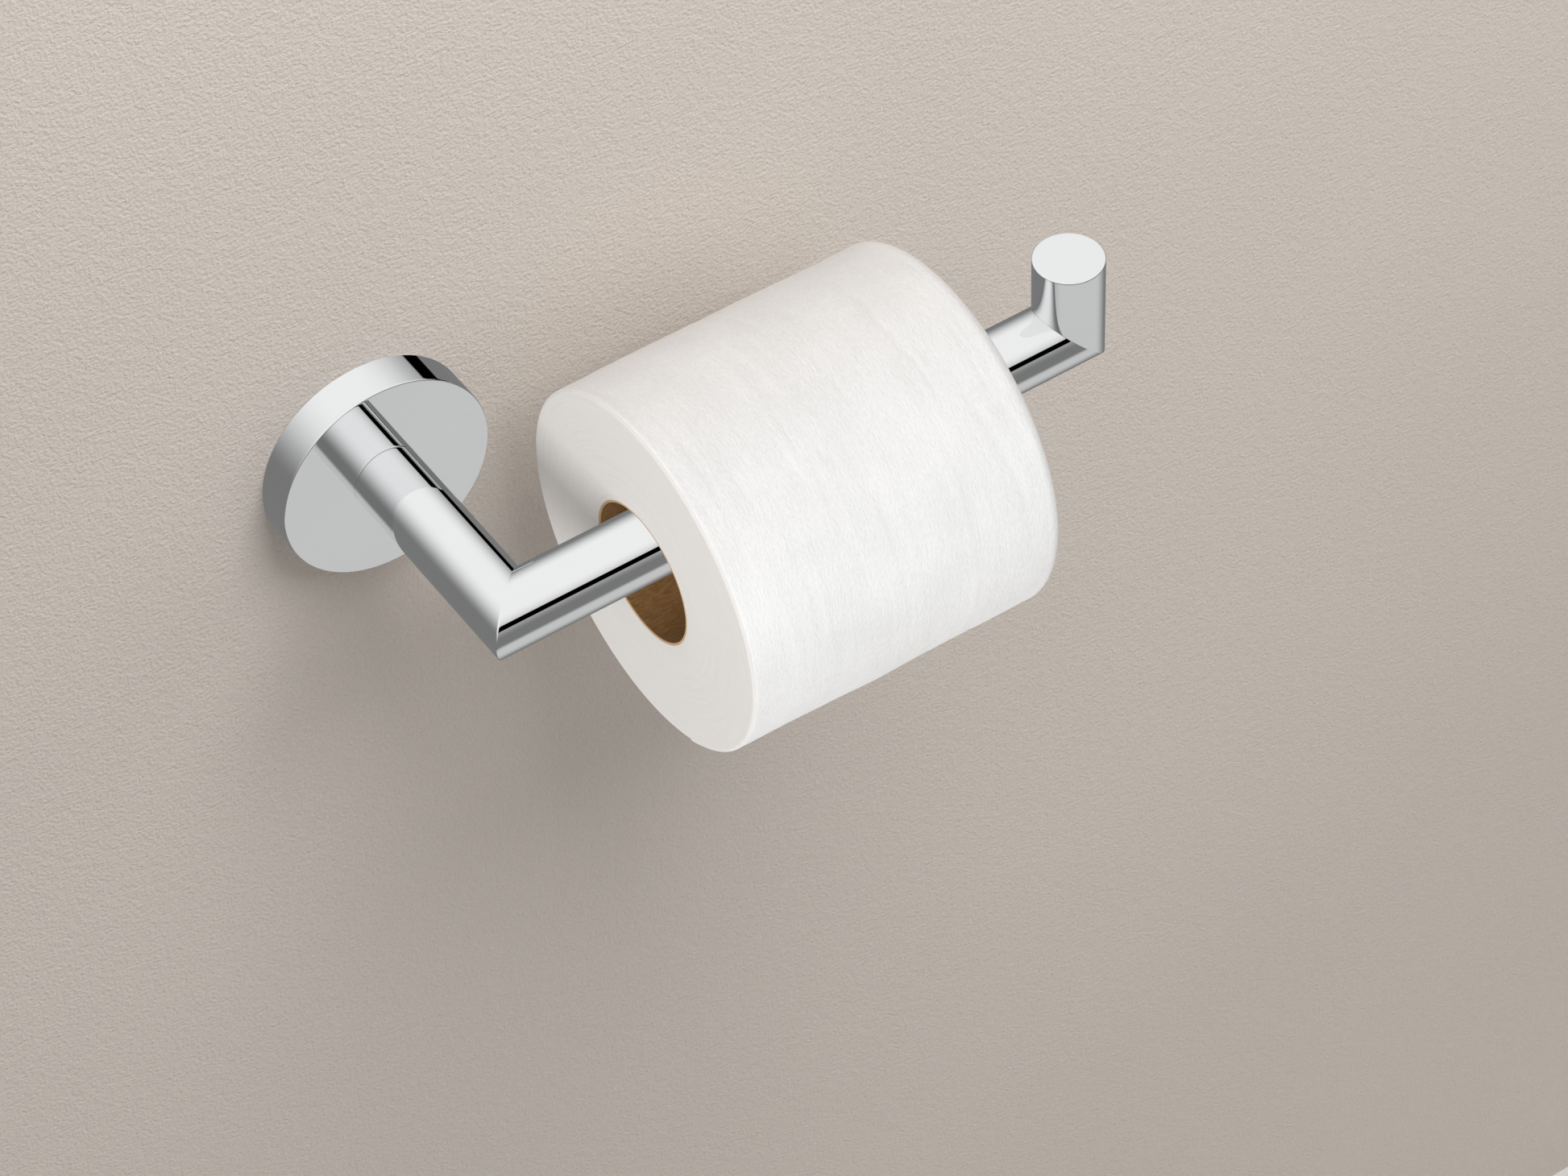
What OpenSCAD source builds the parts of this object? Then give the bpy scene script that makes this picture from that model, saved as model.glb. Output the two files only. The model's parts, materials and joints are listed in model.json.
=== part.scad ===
// Wall-mounted toilet paper holder with a round flange, a square-cornered round
// bar and an upturned tip, carrying one roll of paper.
//
// Origin: centre of the flange, on the wall. +X runs along the arm, +Z is up,
// the room is on the -Y side and the wall is on the +Y side. Millimetres.

/* [Round bar] */
// Outer diameter of the post, arm and tip
tube_d = 20; // [16:0.5:26]
// Wall thickness of the tube
tube_wall = 1.2; // [0.8:0.1:2]
// Distance from the wall to the middle of the arm
post_reach = 72; // [62:1:100]
// Distance from the middle of the post to the middle of the tip
arm_span = 179; // [150:1:240]
// Height of the tip's flat top above the middle of the arm
tip_rise = 26.5; // [22:0.5:50]
// Thickness of the end cap that shows above the tip tube
cap_t = 2; // [1:0.5:4]
// Length of the end cap's plug inside the tip tube
cap_plug_l = 4; // [3:0.5:6]
// Length of each leg of the corner pieces inside the tubes, from the crossing
corner_leg = 22; // [16:1:26]

/* [Flange] */
// Diameter of the round flange
flange_d = 63; // [58:1:80]
// Distance that the flange stands out from the wall
flange_depth = 11.5; // [11:0.5:16]
// Thickness of the flange's rim
flange_wall = 1.5; // [1:0.1:2.5]
// Thickness of the flange's face
flange_face = 2.2; // [1.6:0.1:3]
// Outer diameter of the boss that takes the set screw
boss_d = 8; // [7:0.5:8]
// How far the boss reaches inwards from the rim
boss_l = 3.4; // [2:0.1:4]
// Thickness of the two hooks at the top of the flange
hook_t = 2.4; // [1.5:0.1:3]
// Gap between the hooks and the wall
hook_lift = 0.4; // [0.2:0.1:1]
// Angle that each hook covers
hook_angle = 24; // [14:1:30]
// Angle from the top to the middle of each hook
hook_spread = 26; // [18:1:40]

/* [Wall bracket] */
// Diameter of the bracket's front edge
bracket_d = 50; // [48:0.5:51]
// Thickness of the bracket
bracket_t = 7; // [6:0.5:8]
// How far the bracket's edge leans in towards the wall
bracket_undercut = 3.5; // [2:0.5:5]
// Diameter of the hole in the middle of the bracket
bracket_bore = 16; // [14:0.5:17]
// Distance between opposite screw holes, level and plumb
screw_spacing = 31; // [29:0.5:32]
// Length of the bracket's slots from end to end
slot_l = 8; // [6:0.5:9]
// Depth of the wider pockets that sink the screw heads
pocket_depth = 3.2; // [2.8:0.1:4]

/* [Fixings] */
// Nominal diameter of the wall screws
wall_screw_d = 4; // [3.5:0.5:5]
// Length of the wall screws under the head
wall_screw_l = 35; // [30:5:40]
// Outer diameter of the wall plugs
plug_d = 6; // [6:0.5:8]
// Length of the wall plugs
plug_l = 30; // [25:1:40]
// Nominal diameter of the bolt that holds the post to the flange
post_bolt_d = 6; // [5:1:6]
// Length of the post bolt under the head
post_bolt_l = 14; // [12:1:16]
// Height of the post bolt's head
bolt_head_h = 3.6; // [3:0.1:4]
// Width of the post bolt's head across flats
bolt_head_af = 10; // [8:1:10]
// Thickness of the lock washer
washer_t = 1.2; // [1:0.1:1.6]
// Length of the threaded plug in the end of the post
post_plug_l = 14; // [12:1:16]
// Diameter of the pin that keeps the post from turning
pin_d = 2.5; // [2:0.5:3]
// Length of the pin
pin_l = 7; // [6:0.5:8]
// Distance from the middle of the post to the pin
pin_offset = 6; // [5.8:0.1:6.2]
// Nominal diameter of the set screw
set_screw_d = 5; // [4:0.5:5]

/* [Paper roll] */
// Outer diameter of the roll
roll_d = 107; // [80:1:118]
// Width of the roll
roll_w = 98; // [90:1:110]
// Distance from the middle of the post to the roll's near side
roll_offset = 40.7; // [16:0.5:60]
// Inner diameter of the cardboard core
core_id = 41; // [38:0.5:50]
// Thickness of the cardboard
core_wall = 0.7; // [0.5:0.1:1.5]

/* [Fits] */
// Gap all round between two pieces that are pushed together
fit_gap = 0.05; // [0.02:0.01:0.1]
// Gap between the top of the hanging core and the arm
hang_gap = 0.3; // [0.2:0.05:0.5]
// Extra width of the bracket's slots over the screw
slot_play = 0.4; // [0.2:0.1:0.6]
// Gap between the flange's hooks and the edge of the bracket
hook_gap = 0.3; // [0.1:0.1:0.6]

/* [Hidden] */
$fn = 96;
overcut = 1;                                   // how far a cutter runs past a face
bore_r = tube_d / 2 - tube_wall;               // inside of the tube
filler_r = bore_r - fit_gap;                   // anything pushed into the tube
flange_r = flange_d / 2;
face_back = flange_depth - flange_face;        // height of the face's inner side
bracket_r = bracket_d / 2;
bracket_foot_r = bracket_r - bracket_undercut; // where the bracket meets the wall
roll_drop = core_id / 2 - tube_d / 2 - hang_gap;
tip_plug_end = tip_rise - cap_t - cap_plug_l;  // lower end of the cap's plug
tip_leg = min(corner_leg, tip_plug_end - 1);   // the tip corner's shorter leg
bolt_seat = face_back - washer_t;              // height of the bolt head's underside
pin_start = face_back;                         // the pin starts level with the face's inner side
set_screw_h = boss_d / 2 + 0.25;               // height of the set screw over the wall
set_screw_tip_r = set_screw_d / 8;             // flat end of the cone point
set_screw_cone = set_screw_d * 0.4;            // length of the cone point
set_screw_end = bracket_edge(set_screw_h + set_screw_tip_r) + fit_gap;
set_screw_start = flange_r - 0.1;              // just under the flange's skin
boss_start = flange_r - flange_wall - boss_l;
hook_r = bracket_edge(hook_lift + hook_t) + hook_gap; // inner radius of the hooks
weld_r = flange_r - flange_wall / 2;           // how far boss and hooks reach into the rim
screw_head_h = 2.4;
screw_head_r = wall_screw_d;                   // a pan head is twice as wide as its screw
hole_r = wall_screw_d / 2 + slot_play;         // half the width of the bracket's slots
pocket_r = screw_head_r + slot_play;
pocket_floor = bracket_t - pocket_depth;
screw_seat = pocket_floor;                     // height of the screw head's underside

// Radius of the bracket's leaning edge at a height over the wall
function bracket_edge(h) = bracket_foot_r + bracket_undercut * h / bracket_t;

// Turns a piece drawn on a bench, with z up, so that z points out of the wall
module from_wall() rotate([90, 0, 0]) children();

// Turns a piece drawn along z so that it runs along the arm
module along_arm() translate([0, -post_reach, 0]) rotate([0, 90, 0]) children();

// A thread drawn as plain rings: root radius, crest radius, pitch, start and length
module rings(root_r, crest_r, pitch, start, length) {
  count = floor(length / pitch);
  outline = concat(
    [[0, start], [root_r, start]],
    [for (i = [0 : count - 1], p = [[root_r, 0.25], [crest_r, 0.45], [crest_r, 0.55], [root_r, 0.75]])
      [p[0], start + (i + p[1]) * pitch]],
    [[root_r, start + length], [0, start + length]]
  );
  rotate_extrude() polygon(outline);
}

// A slot drawn flat along x: a circle of radius r, or its path over the travel
module slot(travel, r) {
  if (travel == 0) circle(r);
  else {
    square([travel, 2 * r], center = true);
    for (side = [-1, 1]) translate([side * travel / 2, 0]) circle(r);
  }
}

// All that lies on one side of a corner's 45 degree seam, seen from above the corner.
// The angle is that of the seam's normal, pointing to the side that stays.
module seam_side(angle) {
  size = 2 * (post_reach + arm_span + tip_rise);
  linear_extrude(2 * tube_d, center = true)
    rotate([0, 0, angle]) translate([0, -size]) square([size, 2 * size]);
}

module post_side_of_front_seam() translate([0, -post_reach, 0]) seam_side(135);
module arm_side_of_front_seam() translate([0, -post_reach, 0]) seam_side(-45);
module tip_side_of_tip_seam() translate([arm_span, -post_reach, 0]) rotate([90, 0, 0]) seam_side(45);
module arm_side_of_tip_seam() translate([arm_span, -post_reach, 0]) rotate([90, 0, 0]) seam_side(225);

module flange_cover() {
  color([0.80, 0.81, 0.82])
  from_wall() difference() {
    union() {
      rotate_extrude() polygon([
        [flange_r - flange_wall, 0], [flange_r, 0], [flange_r, flange_depth],
        [0, flange_depth], [0, face_back], [flange_r - flange_wall, face_back]
      ]);
      intersection() {
        translate([0, -boss_start, set_screw_h]) rotate([90, 0, 0])
          cylinder(h = flange_r, r = boss_d / 2);
        cylinder(h = flange_depth, r = weld_r);
      }
      for (side = [-1, 1])
        rotate([0, 0, 90 + side * hook_spread - hook_angle / 2])
          rotate_extrude(angle = hook_angle)
            translate([hook_r, hook_lift]) square([weld_r - hook_r, hook_t]);
    }
    translate([0, 0, face_back - overcut])
      cylinder(h = flange_face + 2 * overcut, r = post_bolt_d / 2 + fit_gap);
    translate([0, pin_offset, face_back - overcut])
      cylinder(h = flange_face + 2 * overcut, r = pin_d / 2 + fit_gap);
    translate([0, 0, set_screw_h]) rotate([90, 0, 0])
      cylinder(h = flange_r + overcut, r = set_screw_d / 2 + fit_gap);
  }
}

// Cutter for a screw that can shift by the travel, with a wider pocket for its head
module sunk_slot(travel) {
  translate([0, 0, -overcut]) linear_extrude(bracket_t + 2 * overcut) slot(travel, hole_r);
  translate([0, 0, pocket_floor]) linear_extrude(pocket_depth + overcut) slot(travel, pocket_r);
}

module wall_bracket() {
  color([0.62, 0.63, 0.64])
  from_wall() difference() {
    rotate_extrude() polygon([
      [bracket_bore / 2, 0], [bracket_foot_r, 0], [bracket_r, bracket_t], [bracket_bore / 2, bracket_t]
    ]);
    for (side = [-1, 1]) {
      translate([side * screw_spacing / 2, 0]) sunk_slot(slot_l - 2 * hole_r);
      translate([0, side * screw_spacing / 2]) sunk_slot(0);
    }
  }
}

module wall_screw() {
  core_r = wall_screw_d * 0.35;
  neck_l = screw_seat + 1;
  point_l = wall_screw_d;
  recess_w = wall_screw_d * 0.25;
  recess_l = wall_screw_d * 1.1;
  recess_depth = screw_head_h * 0.6;
  thread_l = wall_screw_l - neck_l - point_l;
  difference() {
    translate([0, 0, screw_seat]) rotate_extrude() intersection() {
      translate([0, -screw_head_r]) circle(screw_head_r + screw_head_h);
      square([screw_head_r, screw_head_h]);
    }
    for (turn = [0, 90]) rotate([0, 0, turn])
      translate([-recess_l / 2, -recess_w / 2, screw_seat + screw_head_h - recess_depth])
        cube([recess_l, recess_w, recess_depth + overcut]);
  }
  translate([0, 0, screw_seat - neck_l]) cylinder(h = neck_l, r = wall_screw_d / 2);
  translate([0, 0, screw_seat - neck_l - thread_l])
    rings(core_r, wall_screw_d / 2, 1.8, 0, thread_l);
  translate([0, 0, screw_seat - wall_screw_l]) cylinder(h = point_l, r1 = 0.2, r2 = core_r);
}

module wall_screws() {
  color([0.74, 0.74, 0.72])
  from_wall() for (side = [-1, 1]) translate([side * screw_spacing / 2, 0]) wall_screw();
}

module wall_plug() {
  neck_l = plug_l * 0.4;
  rib_pitch = 3;
  rib_depth = 0.4;
  slit_w = 0.8;
  screw_r = wall_screw_d / 2 + fit_gap;
  rib_count = floor((plug_l - neck_l) / rib_pitch);
  outline = concat(
    [[screw_r, 0], [plug_d / 2, 0]],
    [for (i = [0 : rib_count - 1], p = [[0, 0], [rib_depth, 0.3], [rib_depth, 0.9]])
      [plug_d / 2 - p[0], -neck_l - (i + p[1]) * rib_pitch]],
    [[plug_d / 2 - rib_depth, -plug_l], [screw_r, -plug_l]]
  );
  difference() {
    rotate_extrude() polygon(outline);
    translate([-slit_w / 2, -plug_d, -plug_l - overcut])
      cube([slit_w, 2 * plug_d, plug_l - neck_l - rib_pitch / 2]);
  }
}

module wall_plugs() {
  color([0.62, 0.64, 0.66])
  from_wall() for (side = [-1, 1]) translate([side * screw_spacing / 2, 0]) wall_plug();
}

module set_screw() {
  key_af = set_screw_d / 2;
  key_depth = set_screw_d * 0.45;
  length = set_screw_start - set_screw_end;
  root_r = set_screw_d / 2 - 0.4;
  color([0.35, 0.36, 0.37])
  from_wall() translate([0, -set_screw_end, set_screw_h]) rotate([90, 0, 0]) difference() {
    union() {
      cylinder(h = set_screw_cone, r1 = set_screw_tip_r, r2 = root_r);
      rings(root_r, set_screw_d / 2, 0.8, set_screw_cone, length - set_screw_cone);
    }
    translate([0, 0, length - key_depth]) cylinder(h = key_depth + overcut, d = key_af / cos(30), $fn = 6);
  }
}

module post_bolt() {
  root_r = post_bolt_d / 2 - 0.5;
  neck_l = washer_t + flange_face;
  color([0.70, 0.70, 0.68])
  from_wall() translate([0, 0, bolt_seat]) {
    translate([0, 0, -bolt_head_h]) cylinder(h = bolt_head_h, d = bolt_head_af / cos(30), $fn = 6);
    cylinder(h = neck_l, r = post_bolt_d / 2);
    rings(root_r, post_bolt_d / 2, 1, neck_l, post_bolt_l - neck_l);
  }
}

module lock_washer() {
  gap_w = 1;
  outer_r = bolt_head_af / 2;
  color([0.55, 0.55, 0.54])
  from_wall() translate([0, 0, bolt_seat]) difference() {
    cylinder(h = washer_t, r = outer_r);
    translate([0, 0, -overcut]) cylinder(h = washer_t + 2 * overcut, r = post_bolt_d / 2 + fit_gap);
    translate([0, -gap_w / 2, -overcut]) cube([outer_r + overcut, gap_w, washer_t + 2 * overcut]);
  }
}

module locating_pin() {
  color([0.70, 0.70, 0.70])
  from_wall() translate([0, pin_offset, pin_start]) cylinder(h = pin_l, r = pin_d / 2);
}

module post_plug() {
  color([0.80, 0.66, 0.34])
  from_wall() translate([0, 0, flange_depth]) difference() {
    cylinder(h = post_plug_l, r = filler_r);
    translate([0, 0, -overcut])
      cylinder(h = post_plug_l + 2 * overcut, r = post_bolt_d / 2 + fit_gap);
    translate([0, pin_offset, -overcut])
      cylinder(h = pin_l - flange_face + fit_gap + overcut, r = pin_d / 2 + fit_gap);
  }
}

// A tube along z from z = 0 to z = length
module tube(length) {
  difference() {
    cylinder(h = length, r = tube_d / 2);
    translate([0, 0, -overcut]) cylinder(h = length + 2 * overcut, r = bore_r);
  }
}

module post_tube() {
  color([0.84, 0.85, 0.86])
  intersection() {
    from_wall() translate([0, 0, flange_depth]) tube(post_reach + tube_d - flange_depth);
    post_side_of_front_seam();
  }
}

module arm_tube() {
  color([0.84, 0.85, 0.86])
  intersection() {
    translate([-tube_d, 0, 0]) along_arm() tube(arm_span + 2 * tube_d);
    arm_side_of_front_seam();
    arm_side_of_tip_seam();
  }
}

module tip_tube() {
  color([0.84, 0.85, 0.86])
  intersection() {
    translate([arm_span, -post_reach, -tube_d]) tube(tip_rise - cap_t + tube_d);
    tip_side_of_tip_seam();
  }
}

module front_corner() {
  color([0.66, 0.66, 0.64])
  union() {
    intersection() {
      from_wall() translate([0, 0, post_reach - corner_leg])
        cylinder(h = corner_leg + tube_d, r = filler_r);
      post_side_of_front_seam();
    }
    intersection() {
      translate([-tube_d, 0, 0]) along_arm() cylinder(h = corner_leg + tube_d, r = filler_r);
      arm_side_of_front_seam();
    }
  }
}

module tip_corner() {
  color([0.66, 0.66, 0.64])
  union() {
    intersection() {
      translate([arm_span - corner_leg, 0, 0]) along_arm()
        cylinder(h = corner_leg + tube_d, r = filler_r);
      arm_side_of_tip_seam();
    }
    intersection() {
      translate([arm_span, -post_reach, -tube_d]) cylinder(h = tip_leg + tube_d, r = filler_r);
      tip_side_of_tip_seam();
    }
  }
}

module tip_cap() {
  color([0.88, 0.89, 0.89])
  translate([arm_span, -post_reach, tip_plug_end]) {
    cylinder(h = cap_plug_l, r = filler_r);
    translate([0, 0, cap_plug_l]) cylinder(h = cap_t, r = tube_d / 2);
  }
}

// A ring along the arm at the roll's place, hanging by its core
module roll_ring(outer_r, inner_r) {
  translate([roll_offset, 0, -roll_drop]) along_arm() difference() {
    cylinder(h = roll_w, r = outer_r);
    translate([0, 0, -overcut]) cylinder(h = roll_w + 2 * overcut, r = inner_r);
  }
}

module cardboard_core() {
  color([0.62, 0.47, 0.32]) roll_ring(core_id / 2 + core_wall, core_id / 2);
}

module paper_roll() {
  color([0.96, 0.96, 0.94]) roll_ring(roll_d / 2, core_id / 2 + core_wall + fit_gap);
}

flange_cover();
wall_bracket();
wall_screws();
wall_plugs();
set_screw();
post_bolt();
lock_washer();
locating_pin();
post_plug();
post_tube();
front_corner();
arm_tube();
tip_corner();
tip_tube();
tip_cap();
cardboard_core();
paper_roll();
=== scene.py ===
# %% [markdown]
# # A chrome toilet paper holder with its roll
#
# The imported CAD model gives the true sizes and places. This lesson builds the looks round it:
# bright chrome tubes with ground and polished corners, a pressed flange, a wound roll of soft paper on a
# cardboard core, and the fixings behind. Everything is in metres. The wall is the plane y = 0, the room
# is on the -Y side, the arm runs along +X and +Z is up.

# %% Load the frame and keep its box
import bmesh
import bpy
import json
import math
import numpy as np
from mathutils import Matrix, Vector


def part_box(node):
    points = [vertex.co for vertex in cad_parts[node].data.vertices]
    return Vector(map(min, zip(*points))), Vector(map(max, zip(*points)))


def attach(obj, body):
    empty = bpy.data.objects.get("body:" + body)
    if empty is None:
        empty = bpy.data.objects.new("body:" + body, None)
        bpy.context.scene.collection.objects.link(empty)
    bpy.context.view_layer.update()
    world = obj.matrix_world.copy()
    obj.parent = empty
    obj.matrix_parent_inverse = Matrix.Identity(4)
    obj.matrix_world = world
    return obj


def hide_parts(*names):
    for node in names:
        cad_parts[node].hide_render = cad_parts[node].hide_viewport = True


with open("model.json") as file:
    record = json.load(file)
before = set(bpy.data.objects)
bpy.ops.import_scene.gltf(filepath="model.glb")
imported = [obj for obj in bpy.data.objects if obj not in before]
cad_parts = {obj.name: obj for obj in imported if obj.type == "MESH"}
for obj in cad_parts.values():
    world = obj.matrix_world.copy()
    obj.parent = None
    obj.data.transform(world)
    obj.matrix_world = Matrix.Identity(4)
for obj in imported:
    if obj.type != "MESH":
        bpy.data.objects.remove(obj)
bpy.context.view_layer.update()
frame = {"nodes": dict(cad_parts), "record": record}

# %% [markdown]
# ## The measures
#
# A maker reads the drawing before cutting anything. Here the boxes of the CAD pieces are the drawing:
# half the height of the post is the tube's radius, the middle of the arm's box is its axis, and so on.
# Only what a box can't tell, such as a wall's thickness, is written as a number.

# %% Read the measures from the boxes
MM = 0.001


def middle(node):
    """Middle of a CAD piece's box."""
    low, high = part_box(node)
    return (np.array(low) + np.array(high)) / 2


def half(node, axis):
    """Half the length of a CAD piece's box along one axis."""
    low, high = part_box(node)
    return (high[axis] - low[axis]) / 2


tube_r = half("post_tube", 2)
tube_wall = 1.2 * MM
bore_r = tube_r - tube_wall
flange_r = half("flange_cover", 0)
flange_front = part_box("flange_cover")[0].y
arm_y = middle("arm_tube")[1]
tip_x = middle("tip_tube")[0]
tip_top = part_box("tip_cap")[1].z
cap_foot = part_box("tip_tube")[1].z
plug_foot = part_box("tip_cap")[0].z
plug_r = half("tip_corner", 1)
front_corner = np.array([0.0, arm_y, 0.0])
tip_corner = np.array([tip_x, arm_y, 0.0])
print("tube radius", tube_r, "flange radius", round(flange_r, 5), "arm at y", round(arm_y, 5))
print("tip at x", round(tip_x, 5), "top of the tip", round(tip_top, 5))

# %% [markdown]
# ## A skin of cells
#
# Every new piece is a surface worked out as arrays of points. `Skin` collects the points and the cells
# between them. A grid of points makes rows of four-cornered cells, and either direction can close on
# itself, as a tube does round its axis. A row that has shrunk to one point, as at the middle of a disc,
# is closed with a fan of triangles. At the end all faces are turned outwards and shaded smooth, apart from
# edges where the surface turns by more than 40 degrees at once, such as the square end of a tube.

# %% Points and cells
class Skin:
    """Points and faces of one piece, added patch by patch."""

    def __init__(self):
        self.points = []
        self.faces = []
        self.total = 0

    def add(self, points):
        """Adds an array of points (..., 3) and returns their numbers in the same layout."""
        flat = np.asarray(points, float).reshape(-1, 3)
        numbers = np.arange(len(flat)) + self.total
        self.points.append(flat)
        self.total += len(flat)
        return numbers.reshape(np.asarray(points).shape[:-1])

    def cells(self, grid, round_rows=False, round_columns=False, skip=()):
        """Cells of a grid of point numbers. skip lists blocks (row0, row1, column0, column1) left open."""
        rows, columns = grid.shape
        row, column = np.meshgrid(
            np.arange(rows if round_rows else rows - 1),
            np.arange(columns if round_columns else columns - 1),
            indexing="ij",
        )
        keep = np.ones(row.shape, bool)
        for row0, row1, column0, column1 in skip:
            keep[row0:row1, column0:column1] = False
        row, column = row[keep], column[keep]
        next_row, next_column = (row + 1) % rows, (column + 1) % columns
        corners = (
            grid[row, column], grid[row, next_column], grid[next_row, next_column], grid[next_row, column])
        self.faces.append(np.stack(corners, -1))

    def bridge(self, first, second):
        """A ring of cells between two closed loops with the same number of points."""
        self.cells(np.stack([first, second]), round_columns=True)

    def fan(self, loop, centre):
        """Triangles from a closed loop to one point."""
        tip = self.add([centre])[0]
        self.faces.append(np.stack([loop, np.roll(loop, -1), np.full(len(loop), tip)], -1))

    def piece(self, name, body, material):
        """Makes the object: its faces point outwards and it rides on a body."""
        mesh = bpy.data.meshes.new(name)
        points = np.concatenate(self.points)
        sizes = np.concatenate([np.full(len(f), f.shape[1]) for f in self.faces])
        corners = np.concatenate([f.reshape(-1) for f in self.faces])
        mesh.vertices.add(len(points))
        mesh.vertices.foreach_set("co", points.astype(np.float32).reshape(-1))
        mesh.loops.add(len(corners))
        mesh.loops.foreach_set("vertex_index", corners.astype(np.int32))
        mesh.polygons.add(len(sizes))
        mesh.polygons.foreach_set("loop_start", np.concatenate([[0], np.cumsum(sizes)[:-1]]).astype(np.int32))
        mesh.polygons.foreach_set("use_smooth", np.ones(len(sizes), bool))
        mesh.update(calc_edges=True)
        mesh.validate()
        turn_outwards(mesh)
        mesh.set_sharp_from_angle(angle=math.radians(40))
        thing = bpy.data.objects.new(name, mesh)
        bpy.context.scene.collection.objects.link(thing)
        mesh.materials.append(material)
        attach(thing, body)
        print(f"{name}: {len(points)} points, {len(sizes)} faces")
        return thing


def turn_outwards(mesh):
    """Turns every face of a closed mesh outwards."""
    work = bmesh.new()
    work.from_mesh(mesh)
    bmesh.ops.recalc_face_normals(work, faces=work.faces)
    if work.calc_volume(signed=True) < 0:
        bmesh.ops.reverse_faces(work, faces=work.faces)
    work.to_mesh(mesh)
    work.free()


# %% [markdown]
# ## Node helpers
#
# A material is a small graph. `add` places a node, sets its options and fills its inputs with numbers or
# links, so each finish below reads as a short recipe. `calc` is the same for one sum.

# %% Helpers for node graphs
def add(tree, kind, inputs=None, **options):
    """Places a node, sets its options and fills the named inputs with values or links."""
    node = tree.nodes.new(kind)
    for key, value in options.items():
        setattr(node, key, value)
    for key, value in (inputs or {}).items():
        if isinstance(value, bpy.types.NodeSocket):
            tree.links.new(value, node.inputs[key])
        else:
            node.inputs[key].default_value = value
    return node


def calc(tree, operation, *values, clamp=False):
    """One sum on up to three values or links."""
    inputs = dict(enumerate(values))
    return add(tree, "ShaderNodeMath", inputs, operation=operation, use_clamp=clamp).outputs[0]


def stretch(tree, vector, scale):
    """The vector with each of its three parts multiplied."""
    return add(tree, "ShaderNodeMapping", {"Vector": vector, "Scale": scale}).outputs[0]


def noise(tree, vector, scale, detail=2.0, roughness=0.5, distortion=0.0):
    """A cloud of soft spots from 0 to 1, scale spots a metre."""
    return add(tree, "ShaderNodeTexNoise", {
        "Vector": vector, "Scale": scale, "Detail": detail, "Roughness": roughness, "Distortion": distortion,
    }).outputs[0]


def between(tree, value, low, high, out_low, out_high, curve="SMOOTHSTEP"):
    """The value's stretch from low to high moved to another stretch, level beyond both ends."""
    return add(tree, "ShaderNodeMapRange", {
        0: value, 1: low, 2: high, 3: out_low, 4: out_high,
    }, interpolation_type=curve).outputs[0]


def blend_colours(tree, factor, first, second, kind="MIX"):
    """Two colours mixed by a factor."""
    node = add(tree, "ShaderNodeMix", data_type="RGBA", blend_type=kind)
    for key, value in ((0, factor), (6, first), (7, second)):
        if isinstance(value, bpy.types.NodeSocket):
            tree.links.new(value, node.inputs[key])
        else:
            node.inputs[key].default_value = value
    return node.outputs[2]


def new_material(name):
    """An empty material with its Principled shader and Object coordinates."""
    material = bpy.data.materials.new(name)
    material.use_nodes = True
    tree = material.node_tree
    shader = tree.nodes["Principled BSDF"]
    place = add(tree, "ShaderNodeTexCoord").outputs["Object"]
    return material, tree, shader, place


def new_group(name, inputs, outputs):
    """A node group with named inputs and outputs."""
    tree = bpy.data.node_groups.new(name, "ShaderNodeTree")
    for label, kind, value in inputs:
        socket = tree.interface.new_socket(label, in_out="INPUT", socket_type=kind)
        if value is not None:
            socket.default_value = value
    for label in outputs:
        tree.interface.new_socket(label, in_out="OUTPUT", socket_type="NodeSocketFloat")
    return tree, tree.nodes.new("NodeGroupInput"), tree.nodes.new("NodeGroupOutput")


# %% [markdown]
# ## Two effects that several finishes share
#
# `uneven_polish` gives a value that wanders between two limits, for a roughness that is never quite even:
# cloudy spots with fine grain on them. `surface_grain` gives a height for a bump: the texture that
# a mould, a tumbler or a roller leaves. Each is one node group, used with its own numbers in each finish.

# %% Uneven polish
polish_group, g_in, g_out = new_group("uneven_polish", [
    ("Place", "NodeSocketVector", None),
    ("Spots a metre", "NodeSocketFloat", 60.0),
    ("Smoothest", "NodeSocketFloat", 0.03),
    ("Roughest", "NodeSocketFloat", 0.08),
], ["Value"])
cloud = noise(polish_group, g_in.outputs["Place"], g_in.outputs["Spots a metre"], 4.0, 0.55)
fine_scale = calc(polish_group, "MULTIPLY", g_in.outputs["Spots a metre"], 14.0)
fine = noise(polish_group, g_in.outputs["Place"], fine_scale, 2.0, 0.5)
cloud_part = calc(polish_group, "MULTIPLY", cloud, 0.75)
both = calc(polish_group, "ADD", cloud_part, calc(polish_group, "MULTIPLY", fine, 0.25))
reach = add(polish_group, "ShaderNodeMapRange", {
    0: both, 1: 0.36, 2: 0.64, 3: g_in.outputs["Smoothest"], 4: g_in.outputs["Roughest"],
}).outputs[0]
polish_group.links.new(reach, g_out.inputs["Value"])

# %% Surface grain
grain_group, g_in, g_out = new_group("surface_grain", [
    ("Place", "NodeSocketVector", None),
    ("Grains a metre", "NodeSocketFloat", 800.0),
    ("Lumps a metre", "NodeSocketFloat", 150.0),
    ("Share of lumps", "NodeSocketFloat", 0.4),
], ["Height"])
grains = noise(grain_group, g_in.outputs["Place"], g_in.outputs["Grains a metre"], 3.0, 0.6)
lumps = noise(grain_group, g_in.outputs["Place"], g_in.outputs["Lumps a metre"], 1.0, 0.5)
fade = calc(grain_group, "SUBTRACT", 1.0, g_in.outputs["Share of lumps"])
fine_part = calc(grain_group, "MULTIPLY", grains, fade)
height = calc(grain_group, "MULTIPLY_ADD", lumps, g_in.outputs["Share of lumps"], fine_part)
grain_group.links.new(height, g_out.inputs["Height"])
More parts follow.
